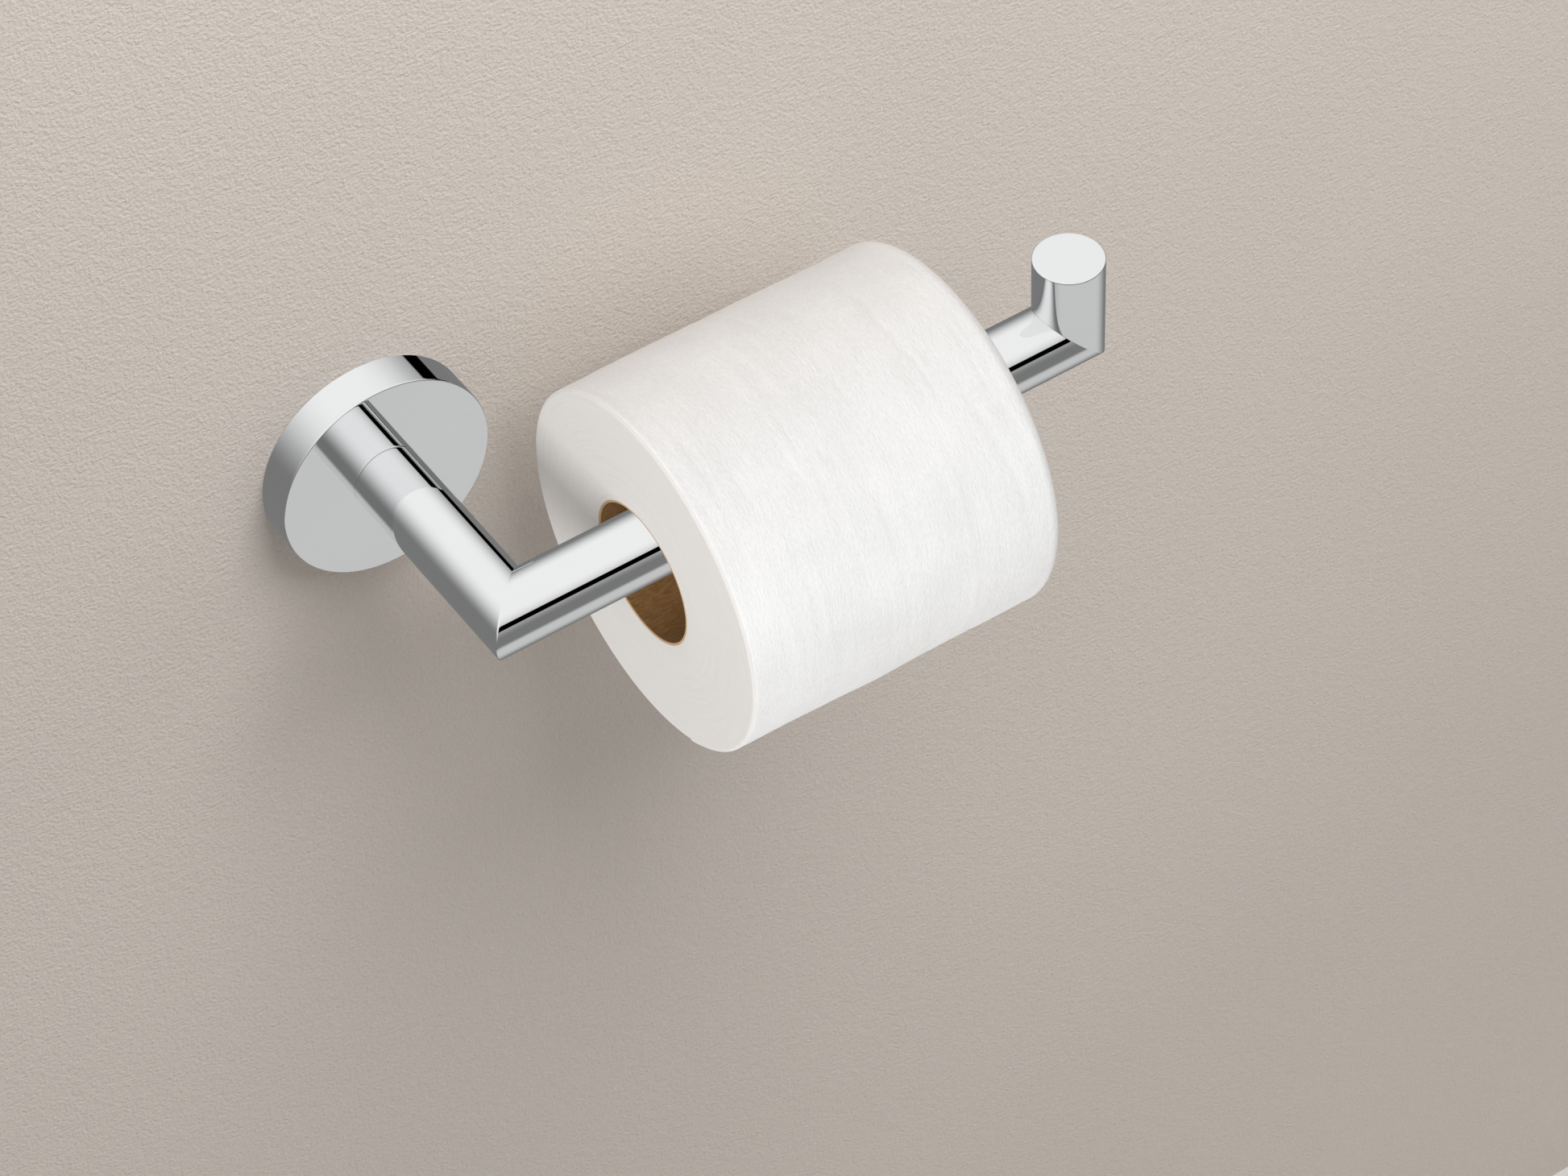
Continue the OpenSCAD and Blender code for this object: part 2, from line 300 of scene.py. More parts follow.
print("groups", [g.name for g in bpy.data.node_groups])


def uneven(tree, place, spots, smoothest, roughest):
    """Places the group of uneven polish and returns its value."""
    node = add(tree, "ShaderNodeGroup", node_tree=polish_group)
    tree.links.new(place, node.inputs["Place"])
    node.inputs["Spots a metre"].default_value = spots
    node.inputs["Smoothest"].default_value = smoothest
    node.inputs["Roughest"].default_value = roughest
    return node.outputs["Value"]


def grain(tree, place, grains_a_metre, lumps_a_metre, lump_share):
    """Places the group of surface grain and returns its height."""
    node = add(tree, "ShaderNodeGroup", node_tree=grain_group)
    tree.links.new(place, node.inputs["Place"])
    node.inputs["Grains a metre"].default_value = grains_a_metre
    node.inputs["Lumps a metre"].default_value = lumps_a_metre
    node.inputs["Share of lumps"].default_value = lump_share
    return node.outputs["Height"]


def bump(tree, height, depth, strength=1.0):
    """A bump whose height from 0 to 1 stands for a depth in metres."""
    return add(tree, "ShaderNodeBump", {
        "Height": height, "Distance": depth, "Strength": strength,
    }).outputs["Normal"]


# %% [markdown]
# ## Bright chrome
#
# The bar and flange are brass, ground, buffed and plated with nickel and a thin layer of chrome, which is
# a mirror with a faint cool tint. A mirror takes nearly all its looks from the room, so the finish itself
# is quiet: full metal, very low roughness with a hint of haze in places, and a long, shallow waviness
# a few thousandths of a millimetre deep that the buffing wheel leaves.

# %% Chrome
chrome, tree, shader, place = new_material("bright_chrome")
tint = blend_colours(
    tree, uneven(tree, place, 35.0, 0.0, 1.0), (0.866, 0.872, 0.876, 1), (0.886, 0.890, 0.893, 1))
tree.links.new(tint, shader.inputs["Base Color"])
shader.inputs["Metallic"].default_value = 1.0
tree.links.new(uneven(tree, place, 90.0, 0.012, 0.028), shader.inputs["Roughness"])
wave = noise(tree, place, 55.0, 1.0, 0.4)
tree.links.new(bump(tree, wave, 0.003 * MM), shader.inputs["Normal"])
print("chrome:", len(tree.nodes), "nodes")

# %% [markdown]
# ## A tube with ground corners
#
# Both corners of the bar are mitres: two tubes cut at 45 degrees, soldered over a corner piece and ground
# flush, so that the crease keeps a hair's rounding outside and a hair's fillet inside. A plain cylinder cut
# by a plane would have a dead sharp crease, which no buffing wheel leaves.
#
# The rounding is that of a rolling ball. A ball of radius b that touches both tubes has its middle on the
# mitre plane, on a tube of radius R - b. Its skin from where it touches the tube to the mitre plane is the
# rounded crease. With b below zero the ball rolls outside, which gives the fillet of the inner side. So b
# runs smoothly from plus on the outer side to minus on the inner side, where it stays a third as large
# because a wheel hardly reaches into the corner.

# %% Mitred tube
AROUND = 384
turn = (np.arange(AROUND) + 0.5) * 2 * np.pi / AROUND


def unit(v):
    """Vectors scaled to length 1."""
    return v / np.linalg.norm(v, axis=-1, keepdims=True)


def arc(centre_r, centre_h, radius, start, stop, steps=6):
    """Points (r, h) on an arc between two angles in degrees."""
    t = np.radians(np.linspace(start, stop, steps))
    return np.stack([centre_r + radius * np.cos(t), centre_h + radius * np.sin(t)], -1)


def crease_rows(corner, along, mitre, side, side_b, ball, steps=6):
    """Rows of points from the tube's plain part to its mitre plane.

    along points to the corner and mitre is the plane's normal. For a direction n(t) = side cos t +
    side_b sin t the ball's middle is corner + (R - b) n - along (R - b)(n.mitre)/(along.mitre), and the row
    at share s is that middle plus b times n turned by the share s towards n's shadow on the mitre plane.
    """
    n = np.outer(np.cos(turn), side) + np.outer(np.sin(turn), side_b)
    lean = n @ mitre
    outwards = -lean / (along @ mitre)
    b = ball * outwards / np.sqrt(outwards ** 2 + 0.05)
    b = np.where(b < 0, b / 3, b)
    shrunk = (tube_r - b)[:, None]
    centre = corner + shrunk * n + along * (shrunk * outwards[:, None])
    shadow = unit(n - lean[:, None] * mitre)
    share = np.linspace(0, 1, steps)[:, None, None]
    bent = unit((1 - share) * n + share * shadow)
    return centre + b[:, None] * bent


def mitred_tube(name, start, end, side, side_b, replaced):
    """A hollow tube, closed round its wall: outside, end, bore, end.

    start and end are (corner, along, mitre, ball), with along pointing from the middle of the tube to that
    corner. Where mitre is along itself the end is square and its edge is broken by the radius ball, or left
    sharp with a ball of 0.
    """
    n = np.outer(np.cos(turn), side) + np.outer(np.sin(turn), side_b)

    def cut(radius, corner, along, mitre):
        return corner + radius * n - along * (radius * (n @ mitre) / (along @ mitre))[:, None]

    def outside(corner, along, mitre, ball):
        if ball == 0:
            edge = cut(tube_r, corner, along, mitre)
            return [edge - along * 0.4 * MM, edge]
        if mitre @ along > 0.99:
            bend = arc(tube_r - ball, -ball, ball, 0, 90)
            rows = corner + bend[:, 0, None, None] * n + bend[:, 1, None, None] * along
            return [rows[0] - along * 0.4 * MM, *rows]
        rows = crease_rows(corner, along, mitre, side, side_b, ball)
        return [rows[0] - along * 1.6 * MM, rows[0] - along * 0.4 * MM, *rows]

    first, last = outside(*start), outside(*end)
    bore_start, bore_end = cut(bore_r, *start[:3]), cut(bore_r, *end[:3])
    bore_rows = [bore_end, bore_end - end[1] * 0.3 * MM, bore_start - start[1] * 0.3 * MM, bore_start]
    rows = [*reversed(first), *last, *bore_rows]
    skin = Skin()
    skin.cells(skin.add(np.array(rows)), round_rows=True, round_columns=True)
    tube = skin.piece(name, "holder", chrome)
    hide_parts(replaced)
    return tube


# %% [markdown]
# ## Post, arm and tip
#
# The three tubes share the one function. Each needs its two ends: the point where the axes cross, the way
# the tube runs towards it, and the normal of the cut. The post has a flat end on the flange's face, and the
# tip a flat end under its cap.

# %% The three tubes
X, Y, Z = np.eye(3)
CREASE = 0.45 * MM
front_mitre = unit(X - Y)
tip_mitre = unit(X + Z)
on_flange = np.array([0.0, flange_front, 0.0])
under_cap = np.array([tip_x, arm_y, cap_foot])
post = mitred_tube(
    "chrome_post", (on_flange, Y, Y, 0.3 * MM), (front_corner, -Y, front_mitre, CREASE), X, Z, "post_tube")
arm = mitred_tube(
    "chrome_arm", (front_corner, -X, -front_mitre, CREASE), (tip_corner, X, tip_mitre, CREASE), Y, Z,
    "arm_tube")
tip = mitred_tube("chrome_tip", (tip_corner, -Z, -tip_mitre, CREASE), (under_cap, Z, Z, 0), X, Y, "tip_tube")

# %% [markdown]
# ## The cap of the tip
#
# The tip's flat top is a turned disc with a short plug that is pressed and soldered into the tube, then
# ground flush with it, so no seam shows on the side. Its top edge is broken by a small radius, which
# catches a fine line of dark and light. It is a profile turned about a vertical axis: points (radius,
# height) swung round, with the middle of the top and of the plug closed by fans.

# %% Turned profiles
def swing(profile, centre, side, side_b, axis, angles=turn):
    """Rows of points: each (r, h) of the profile at centre + r (side cos t + side_b sin t) + h axis."""
    n = np.outer(np.cos(angles), side) + np.outer(np.sin(angles), side_b)
    profile = np.asarray(profile, float)
    return centre + profile[:, 0, None, None] * n + profile[:, 1, None, None] * axis


EDGE = 0.28 * MM
cap_profile = np.concatenate([
    [[0.3 * MM, 0.0], [plug_r - 0.3 * MM, 0.0], [plug_r, 0.3 * MM], [plug_r, cap_foot - plug_foot - 0.1 * MM]],
    [[plug_r, cap_foot - plug_foot], [tube_r, cap_foot - plug_foot], [tube_r, cap_foot - plug_foot + 0.3 * MM]],
    [[tube_r, tip_top - plug_foot - EDGE - 0.35 * MM]],
    arc(tube_r - EDGE, tip_top - plug_foot - EDGE, EDGE, 0, 90),
    [[tube_r - EDGE - 0.35 * MM, tip_top - plug_foot], [tube_r * 0.5, tip_top - plug_foot]],
    [[0.3 * MM, tip_top - plug_foot]],
])
cap_centre = np.array([tip_x, arm_y, plug_foot])
skin = Skin()
grid = skin.add(swing(cap_profile, cap_centre, X, Y, Z))
skin.cells(grid, round_columns=True)
skin.fan(grid[0], cap_centre)
skin.fan(grid[-1], cap_centre + Z * (tip_top - plug_foot))
cap = skin.piece("chrome_tip_cap", "holder", chrome)
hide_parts("tip_cap")

# %% [markdown]
# ## The flange
#
# The round flange is a thick pressed cup. From the front it is a mirror disc with a straight rim and
# finely broken edges. Inside it has two hooks that hang on the bracket, and a boss for the set screw.
# The cup is one turned profile that runs down the rim's outside, over the face, through the bolt's hole
# and back along the inside. The set screw's hole and the pin's hole don't lie on the axis, so there a
# block of cells is taken out of the grid and rings of cells lead from the square gap to a true circle.

# %% Flange measures
rim_wall = 1.5 * MM
face_wall = 2.2 * MM
bolt_hole_r = 3.05 * MM
screw_hole_r = 2.55 * MM
pin_hole_r = 1.3 * MM
pin_height = middle("locating_pin")[2]
screw_h = -middle("set_screw")[1]
boss_r = 4.0 * MM
boss_inner = 26.6 * MM
depth = -flange_front
inner_r = flange_r - rim_wall
FLANGE_AROUND = 256
flange_turn = (np.arange(FLANGE_AROUND) + 0.5) * 2 * np.pi / FLANGE_AROUND
# angles start at the bottom, so that the set screw's hole lies in the middle of a block of columns
hook_r = 23.2 * MM
hook_low, hook_high = 0.4 * MM, 2.8 * MM

# %% Flange profile and holes
rim_rows = np.linspace(0.16 * MM, 8.4 * MM, 9)
face_rows = np.linspace(8.4 * MM, 3.6 * MM, 9)
profile = np.concatenate([
    [[flange_r - 0.15 * MM, 0.0]],
    np.stack([np.full(9, flange_r), rim_rows], -1),
    [[flange_r, depth - 0.7 * MM]],
    arc(flange_r - 0.3 * MM, depth - 0.3 * MM, 0.3 * MM, 0, 90, 7),
    [[flange_r - 0.7 * MM, depth], [20 * MM, depth], [tube_r + 1 * MM, depth]],
    np.stack([face_rows, np.full(9, depth)], -1),
    [[bolt_hole_r, depth], [bolt_hole_r, depth - face_wall]],
    np.stack([face_rows[::-1], np.full(9, depth - face_wall)], -1),
    [[inner_r - 1 * MM, depth - face_wall]],
    arc(inner_r - 0.3 * MM, depth - face_wall - 0.3 * MM, 0.3 * MM, 90, 0, 4)[1:],
    [[inner_r, 8.7 * MM]],
    np.stack([np.full(9, inner_r), rim_rows[::-1]], -1),
    [[inner_r, 0.0]],
])


def row_of(target_r, target_h):
    """Number of the profile's point nearest to (r, h)."""
    return int(np.argmin(np.hypot(profile[:, 0] - target_r, profile[:, 1] - target_h)))


def flange_point(r, angle, h):
    """The flange's own coordinates: radius, angle from the bottom, height over the wall."""
    return np.stack([r * np.sin(angle), -h + 0 * r, -r * np.cos(angle)], -1)


def edge_of_block(row0, row1, column0, column1):
    """Rows and columns of the points round a block, in order."""
    rows, columns = np.arange(row0, row1), np.arange(column0, column1)
    return (
        np.concatenate([np.full(len(columns), row0), rows, np.full(len(columns), row1), rows[::-1] + 1]),
        np.concatenate([columns, np.full(len(rows), column1), columns[::-1] + 1, np.full(len(rows), column0)]),
    )


def open_circle(skin, grid, block, circle, rings=4):
    """Rings of cells from the edge of a block to a circle.

    The edge's points (r, angle, h) lead in equal steps to the points that circle(directions) gives for
    the same directions as seen from the block's middle.
    """
    row, column = edge_of_block(*block)
    r, h = profile[row, 0], profile[row, 1]
    angle = flange_turn[column % FLANGE_AROUND]
    angle = np.where(angle > np.pi, angle - 2 * np.pi, angle) if block[2] < 0 else angle
    end_r, end_angle, end_h = circle(r, angle, h)
    loop = grid[row, column % FLANGE_AROUND]
    for ring in range(1, rings + 1):
        share = (ring / rings) ** 0.8
        points = flange_point(
            r + (end_r - r) * share, angle + (end_angle - angle) * share, h + (end_h - h) * share)
        new_loop = skin.add(points)
        skin.bridge(loop, new_loop)
        loop = new_loop
    return loop


# %% Holes of the flange
def rim_circle(radius, wall_r):
    """Circle of a radial bore at the bottom of the rim, on the wall of radius wall_r."""
    def circle(r, angle, h):
        heading = np.arctan2(h - screw_h, wall_r * angle)
        return 0 * r + wall_r, np.arcsin(radius * np.cos(heading) / wall_r), screw_h + radius * np.sin(heading)
    return circle


def face_circle(radius):
    """Circle of the pin's bore on the flat face, at the top of the post."""
    def circle(r, angle, h):
        side, up = r * np.sin(angle), -r * np.cos(angle)
        heading = np.arctan2(up - pin_height, side)
        side, up = radius * np.cos(heading), pin_height + radius * np.sin(heading)
        return np.hypot(side, up), np.arctan2(side, -up) % (2 * np.pi), h
    return circle


def by_heading(skin, loop, side, side_b, middle_point):
    """The loop's numbers in the order of their heading round a middle point, so that two loops match."""
    points = np.concatenate(skin.points)[loop]
    heading = np.arctan2(points @ side_b - middle_point[1], points @ side - middle_point[0])
    return loop[np.argsort(heading)]


skin = Skin()
grid = skin.add(swing(profile, np.zeros(3), -Z, X, -Y, flange_turn))
outer_row, inner_row = row_of(flange_r, rim_rows[0]), row_of(inner_r, rim_rows[-1])
front_row, back_row = row_of(face_rows[0], depth), row_of(face_rows[-1], depth - face_wall)
half_turn = FLANGE_AROUND // 2
blocks = {
    "rim outside": (outer_row, outer_row + 8, -7, 6),
    "rim inside": (inner_row, inner_row + 8, -7, 6),
    "face outside": (front_row, front_row + 8, half_turn - 20, half_turn + 19),
    "face inside": (back_row, back_row + 8, half_turn - 20, half_turn + 19),
}
skips = []
for row0, row1, column0, column1 in blocks.values():
    if column0 < 0:
        skips += [(row0, row1, FLANGE_AROUND + column0, FLANGE_AROUND), (row0, row1, 0, column1)]
    else:
        skips.append((row0, row1, column0, column1))
skin.cells(grid, round_rows=True, round_columns=True, skip=skips)
outer_loop = open_circle(skin, grid, blocks["rim outside"], rim_circle(screw_hole_r, flange_r))
inner_loop = open_circle(skin, grid, blocks["rim inside"], rim_circle(boss_r, inner_r))
outer_loop = by_heading(skin, outer_loop, X, Y, (0.0, -screw_h))
inner_loop = by_heading(skin, inner_loop, X, Y, (0.0, -screw_h))
points = np.concatenate(skin.points)
bore_end, boss_edge = points[outer_loop], points[inner_loop]
bore_end[:, 2] = boss_edge[:, 2] = -boss_inner
bore_end, boss_edge = skin.add(bore_end), skin.add(boss_edge)
skin.bridge(outer_loop, bore_end)
skin.bridge(bore_end, boss_edge)
skin.bridge(boss_edge, inner_loop)
front_loop = open_circle(skin, grid, blocks["face outside"], face_circle(pin_hole_r))
back_loop = open_circle(skin, grid, blocks["face inside"], face_circle(pin_hole_r))
skin.bridge(
    by_heading(skin, front_loop, X, Z, (0.0, pin_height)), by_heading(skin, back_loop, X, Z, (0.0, pin_height)))
print("flange rows", grid.shape, "points round a bore", len(outer_loop))

# %% Hooks inside the flange
hook_section = np.array([
    [hook_r, hook_low + 0.3 * MM], [hook_r + 0.3 * MM, hook_low], [inner_r + 0.7 * MM, hook_low],
    [inner_r + 0.7 * MM, hook_high], [hook_r + 0.3 * MM, hook_high], [hook_r, hook_high - 0.3 * MM],
])
for lean in (-26, 26):
    angles = np.radians(180 + lean + np.linspace(-12, 12, 25))
    rows = swing(hook_section, np.zeros(3), -Z, X, -Y, angles).transpose(1, 0, 2)
    grid = skin.add(rows)
    skin.cells(grid, round_columns=True)
    for end in (0, -1):
        skin.fan(grid[end], rows[end].mean(0))
flange = skin.piece("chrome_flange", "holder", chrome)
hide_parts("flange_cover")

# %% [markdown]
# ## The paper roll
#
# A roll is one long sheet wound on itself, so its outside is not a cylinder but one turn of a spiral: it
# ends in the loose edge of the last sheet, a thin step. The winding is soft. The outside swells and dips
# by a few tenths of a millimetre, fine creases run round it, the cut ends are a little rounded where the
# sheets give, and on them the layers show as very faint rings.
#
# A cylinder with a bump map would have a dead straight outline. Here the outline itself is soft: the
# radius is worked out for each point from its place across the roll and its angle.

# %% Roll measures
roll_low, roll_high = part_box("paper_roll")
core_low, core_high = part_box("cardboard_core")
roll_y, roll_z = middle("paper_roll")[1], middle("paper_roll")[2]
roll_r = half("paper_roll", 2)
core_r = half("cardboard_core", 2)
core_wall = 0.7 * MM
roll_start, roll_end = roll_low.x, roll_high.x
roll_width = roll_end - roll_start
sheet_step = 0.3 * MM
tail_angle = math.radians(-112)
seed = np.random.default_rng(12)
ROUND_COLUMNS, ACROSS = 400, 112
around = tail_angle + np.linspace(0, 2 * np.pi, ROUND_COLUMNS)
near_round, far_round = 1.3 * MM, 3.4 * MM
print("roll radius", round(roll_r, 5), "width", round(roll_width, 5), "core radius", round(core_r, 5))


# %% Soft shape of the outside
def soft_waves(x, angle):
    """Slow swelling of the wound paper: a few long waves across and round, with whole periods round."""
    total = np.zeros(np.broadcast(x, angle).shape)
    waves = ((0.6, 1, 0.22), (1.3, 2, 0.14), (2.1, 3, 0.10), (3.4, 5, 0.06), (5.2, 7, 0.04))
    for order_x, order_a, size in waves:
        phase, second = seed.uniform(0, 2 * np.pi, 2)
        total = total + size * MM * np.sin(2 * np.pi * order_x * x + phase) * np.cos(order_a * angle + second)
    return total


def creases(x, angle, count):
    """Fine long creases: each is a soft ridge, a bell across its line, that fades at both ends and drifts."""
    total = np.zeros(np.broadcast(x, angle).shape)
    for _ in range(count):
        x0, angle0 = seed.uniform(0.03, 0.97), seed.uniform(-np.pi, np.pi)
        length, width = seed.uniform(0.12, 0.55), seed.uniform(0.6, 1.6) * MM / roll_width
        drift, depth = seed.normal(0, 0.03), seed.uniform(-0.16, 0.10) * MM
        away = (angle - angle0 + np.pi) % (2 * np.pi) - np.pi
        line = x0 + drift * away + 0.006 * np.sin(3 * away / length)
        total += depth * np.exp(-((x - line) / width) ** 2 - (away / length) ** 2)
    return total


def outline(x):
    """Radius lost towards the two cut ends, a quarter circle at each."""
    near, far = x * roll_width, (1 - x) * roll_width
    loss = np.zeros(np.shape(x))
    for gap, size in ((near, near_round), (far, far_round)):
        inside = np.clip(1 - gap / size, 0, 1)
        loss = loss + size * (1 - np.sqrt(1 - inside ** 2))
    return loss


# the ends need close rows for their rounding, so the share across is spaced by two cosine steps
near_rows = near_round / roll_width * (1 - np.cos(np.linspace(0, np.pi / 2, 9)))
far_rows = 1 - far_round / roll_width * (1 - np.cos(np.linspace(np.pi / 2, 0, 11)))
share_across = np.concatenate([near_rows, np.linspace(near_rows[-1], far_rows[0], ACROSS)[1:-1], far_rows])
x_grid, a_grid = np.meshgrid(share_across, around, indexing="ij")
turn_share = (a_grid - tail_angle) / (2 * np.pi)
lift = 0.25 * MM * np.exp(-((1 - turn_share) * 2 * np.pi * roll_r / (5 * MM)) ** 2)
soft = soft_waves(x_grid, a_grid) + creases(x_grid, a_grid, 140)
ends_fade = np.clip(np.minimum(x_grid * roll_width / near_round, (1 - x_grid) * roll_width / far_round), 0, 1)
taper = 0.3 * MM * (1 - x_grid) ** 1.5
skin_r = roll_r - 0.25 * MM - taper - sheet_step * (1 - turn_share) + lift + soft * ends_fade - outline(x_grid)
skin_r = np.minimum(skin_r, roll_r)
print("roll radius from", round(skin_r.min(), 5), "to", round(skin_r.max(), 5))


# %% Cut ends of the roll
def end_rows(rim, x_rim, inward, count=26):
    """Rows from the rim to the core on a cut end, with layers that stand a little proud or deep.

    inward is +1 where the roll lies on the +X side of the end. The depth at a radius is a sum of rings of
    random height, which turn slowly with the angle as a spiral does.
    """
    share = np.linspace(0, 1, count)[1:, None]
    radius = rim + (core_r - rim) * share
    heights = np.cumsum(seed.normal(0, 1, count - 1))
    heights = (heights - np.linspace(heights[0], heights[-1], count - 1)) * 0.018 * MM
    sway = 0.05 * MM * np.sin(around * 2 + inward) * np.sin(np.pi * share)
    hollow = 0.10 * MM * np.sin(np.pi * share)
    depth_in = np.clip(heights[:, None] + sway + hollow, 0, 1 * MM)
    return x_rim + inward * depth_in, radius


def roll_point(x, radius, angle):
    """Point of the roll: place along the arm, radius from the roll's axis, angle from the room's back."""
    return np.stack([x + 0 * radius, roll_y + radius * np.cos(angle), roll_z + radius * np.sin(angle)], -1)


skin_x = roll_start + x_grid * roll_width
near_x, near_r = end_rows(skin_r[0], roll_start, 1)
far_x, far_r = end_rows(skin_r[-1], roll_end, -1)
rows = np.concatenate([
    roll_point(near_x[::-1], near_r[::-1], around),
    roll_point(skin_x, skin_r, around),
    roll_point(far_x, far_r, around),
])
skin = Skin()
grid = skin.add(rows)
skin.cells(grid, round_rows=True)
skin.cells(grid[:, [-1, 0]], round_rows=True)

# %% [markdown]
# ## Tissue paper
#
# Tissue is white pulp creped into tiny wrinkles. It is matt, and it scatters light inside, so its shade is
# soft. The material has three scales: clouds of pulp a few centimetres wide, creases that run round the
# roll, and the crepe's own grain. The creases are noise on Object coordinates that are stretched across
# the roll, so that each spot becomes a thin ring-shaped streak. On the cut ends the same noise is laid on
# the radius, which draws the wound layers.

# %% Tissue
tissue, tree, shader, place = new_material("tissue_paper")
parts = add(tree, "ShaderNodeSeparateXYZ", {0: place}).outputs
up = calc(tree, "SUBTRACT", parts[2], float(roll_z))
back = calc(tree, "SUBTRACT", parts[1], float(roll_y))
radius = calc(tree, "SQRT", calc(tree, "MULTIPLY_ADD", up, up, calc(tree, "MULTIPLY", back, back)))
from_middle = calc(tree, "ABSOLUTE", calc(tree, "SUBTRACT", parts[0], float((roll_start + roll_end) / 2)))
on_end = between(tree, from_middle, roll_width / 2 - 0.8 * MM, roll_width / 2 - 0.3 * MM, 0.0, 1.0)
pulp = noise(tree, place, 45.0, 3.0, 0.55)
crepe = noise(tree, stretch(tree, place, (1.0, 0.45, 0.45)), 1500.0, 2.0, 0.6)
streaks = noise(tree, stretch(tree, place, (1.0, 0.10, 0.10)), 330.0, 3.0, 0.55, 0.4)
folds = noise(tree, stretch(tree, place, (1.0, 0.16, 0.16)), 120.0, 2.0, 0.5, 0.6)
layer_place = add(tree, "ShaderNodeCombineXYZ", {0: radius, 1: calc(tree, "MULTIPLY", up, 0.02)}).outputs[0]
layers = noise(tree, layer_place, 2600.0, 2.0, 0.6)
bands = noise(tree, layer_place, 420.0, 2.0, 0.6)
long_marks = calc(tree, "MULTIPLY_ADD", streaks, 0.95, calc(tree, "MULTIPLY", folds, 0.8))
outside_height = calc(tree, "MULTIPLY_ADD", crepe, 0.75, long_marks)
wide_marks = calc(tree, "MULTIPLY_ADD", bands, 0.30, calc(tree, "MULTIPLY", crepe, 0.25))
end_height = calc(tree, "MULTIPLY_ADD", layers, 0.22, wide_marks)
height = add(tree, "ShaderNodeMix", {0: on_end, 2: outside_height, 3: end_height}).outputs[0]
tree.links.new(bump(tree, height, 0.24 * MM, 0.9), shader.inputs["Normal"])
shade = calc(tree, "MULTIPLY_ADD", pulp, 0.5, calc(tree, "MULTIPLY", crepe, 0.5))
white = blend_colours(
    tree, between(tree, shade, 0.35, 0.65, 0.0, 1.0), (0.820, 0.820, 0.818, 1), (0.880, 0.880, 0.879, 1))
cut = blend_colours(
    tree, between(tree, layers, 0.3, 0.7, 0.0, 1.0), (0.822, 0.808, 0.785, 1), (0.856, 0.844, 0.824, 1))
tree.links.new(blend_colours(tree, on_end, white, cut), shader.inputs["Base Color"])
tree.links.new(uneven(tree, place, 300.0, 0.86, 0.97), shader.inputs["Roughness"])
shader.inputs["Specular IOR Level"].default_value = 0.25
shader.inputs["Sheen Weight"].default_value = 0.12
shader.inputs["Sheen Roughness"].default_value = 0.6
roll = skin.piece("paper_roll_wound", "roll", tissue)
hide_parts("paper_roll")
roll.visible_glossy = False

# %% [markdown]
# ## The cardboard core
#
# The core is wound from two strips of grey-brown board in a steep spiral and cut off square. The strips
# meet in a helical seam, their faces carry long paper fibres, and the cut edge is paler than the face.
# The tube itself is a turned wall. The seam is drawn in the material by the sum (place along the axis) /
# pitch minus (angle) / one turn: where its fraction passes zero lies the seam.

# %% Core
core_inner = core_r - core_wall
core_turn = np.arange(128) * 2 * np.pi / 128
wall_profile = np.array([
    [core_inner, 0.12 * MM], [core_inner + 0.12 * MM, 0.0], [core_r - 0.12 * MM, 0.0], [core_r, 0.12 * MM],
    [core_r, roll_width - 0.12 * MM], [core_r - 0.12 * MM, roll_width], [core_inner + 0.12 * MM, roll_width],
    [core_inner, roll_width - 0.12 * MM], [core_inner, roll_width * 0.5],
])
skin = Skin()
core_axis = np.array([roll_start, roll_y, roll_z])
skin.cells(skin.add(swing(wall_profile, core_axis, Y, Z, X, core_turn)), round_rows=True, round_columns=True)

cardboard, tree, shader, place = new_material("spiral_cardboard")
parts = add(tree, "ShaderNodeSeparateXYZ", {0: place}).outputs
up = calc(tree, "SUBTRACT", parts[2], float(roll_z))
back = calc(tree, "SUBTRACT", parts[1], float(roll_y))
angle = calc(tree, "DIVIDE", calc(tree, "ARCTAN2", up, back), 2 * math.pi)
winding = calc(tree, "FRACT", calc(tree, "SUBTRACT", calc(tree, "MULTIPLY", parts[0], 1 / 0.072), angle))
from_seam = calc(tree, "ABSOLUTE", calc(tree, "SUBTRACT", winding, 0.5))
seam = between(tree, from_seam, 0.0, 0.012, 1.0, 0.0)
from_middle = calc(tree, "ABSOLUTE", calc(tree, "SUBTRACT", parts[0], float((roll_start + roll_end) / 2)))
on_cut = between(tree, from_middle, roll_width / 2 - 0.35 * MM, roll_width / 2 - 0.1 * MM, 0.0, 1.0)
fibres = noise(tree, stretch(tree, place, (0.25, 1.0, 1.0)), 1400.0, 4.0, 0.65)
flecks = noise(tree, place, 240.0, 3.0, 0.6)
board = blend_colours(
    tree, between(tree, fibres, 0.3, 0.7, 0.0, 1.0), (0.25, 0.120, 0.038, 1), (0.38, 0.215, 0.085, 1))
board = blend_colours(tree, between(tree, flecks, 0.45, 0.7, 0.0, 0.5), board, (0.32, 0.17, 0.070, 1))
board = blend_colours(tree, calc(tree, "MULTIPLY", seam, 0.55), board, (0.16, 0.09, 0.045, 1))
board = blend_colours(tree, on_cut, board, (0.62, 0.43, 0.24, 1))
tree.links.new(board, shader.inputs["Base Color"])
tree.links.new(uneven(tree, place, 200.0, 0.72, 0.9), shader.inputs["Roughness"])
height = calc(tree, "SUBTRACT", fibres, calc(tree, "MULTIPLY", seam, 2.0))
tree.links.new(bump(tree, height, 0.06 * MM), shader.inputs["Normal"])
shader.inputs["Specular IOR Level"].default_value = 0.3
core = skin.piece("cardboard_core_wound", "roll", cardboard)
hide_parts("cardboard_core")
core.visible_glossy = False

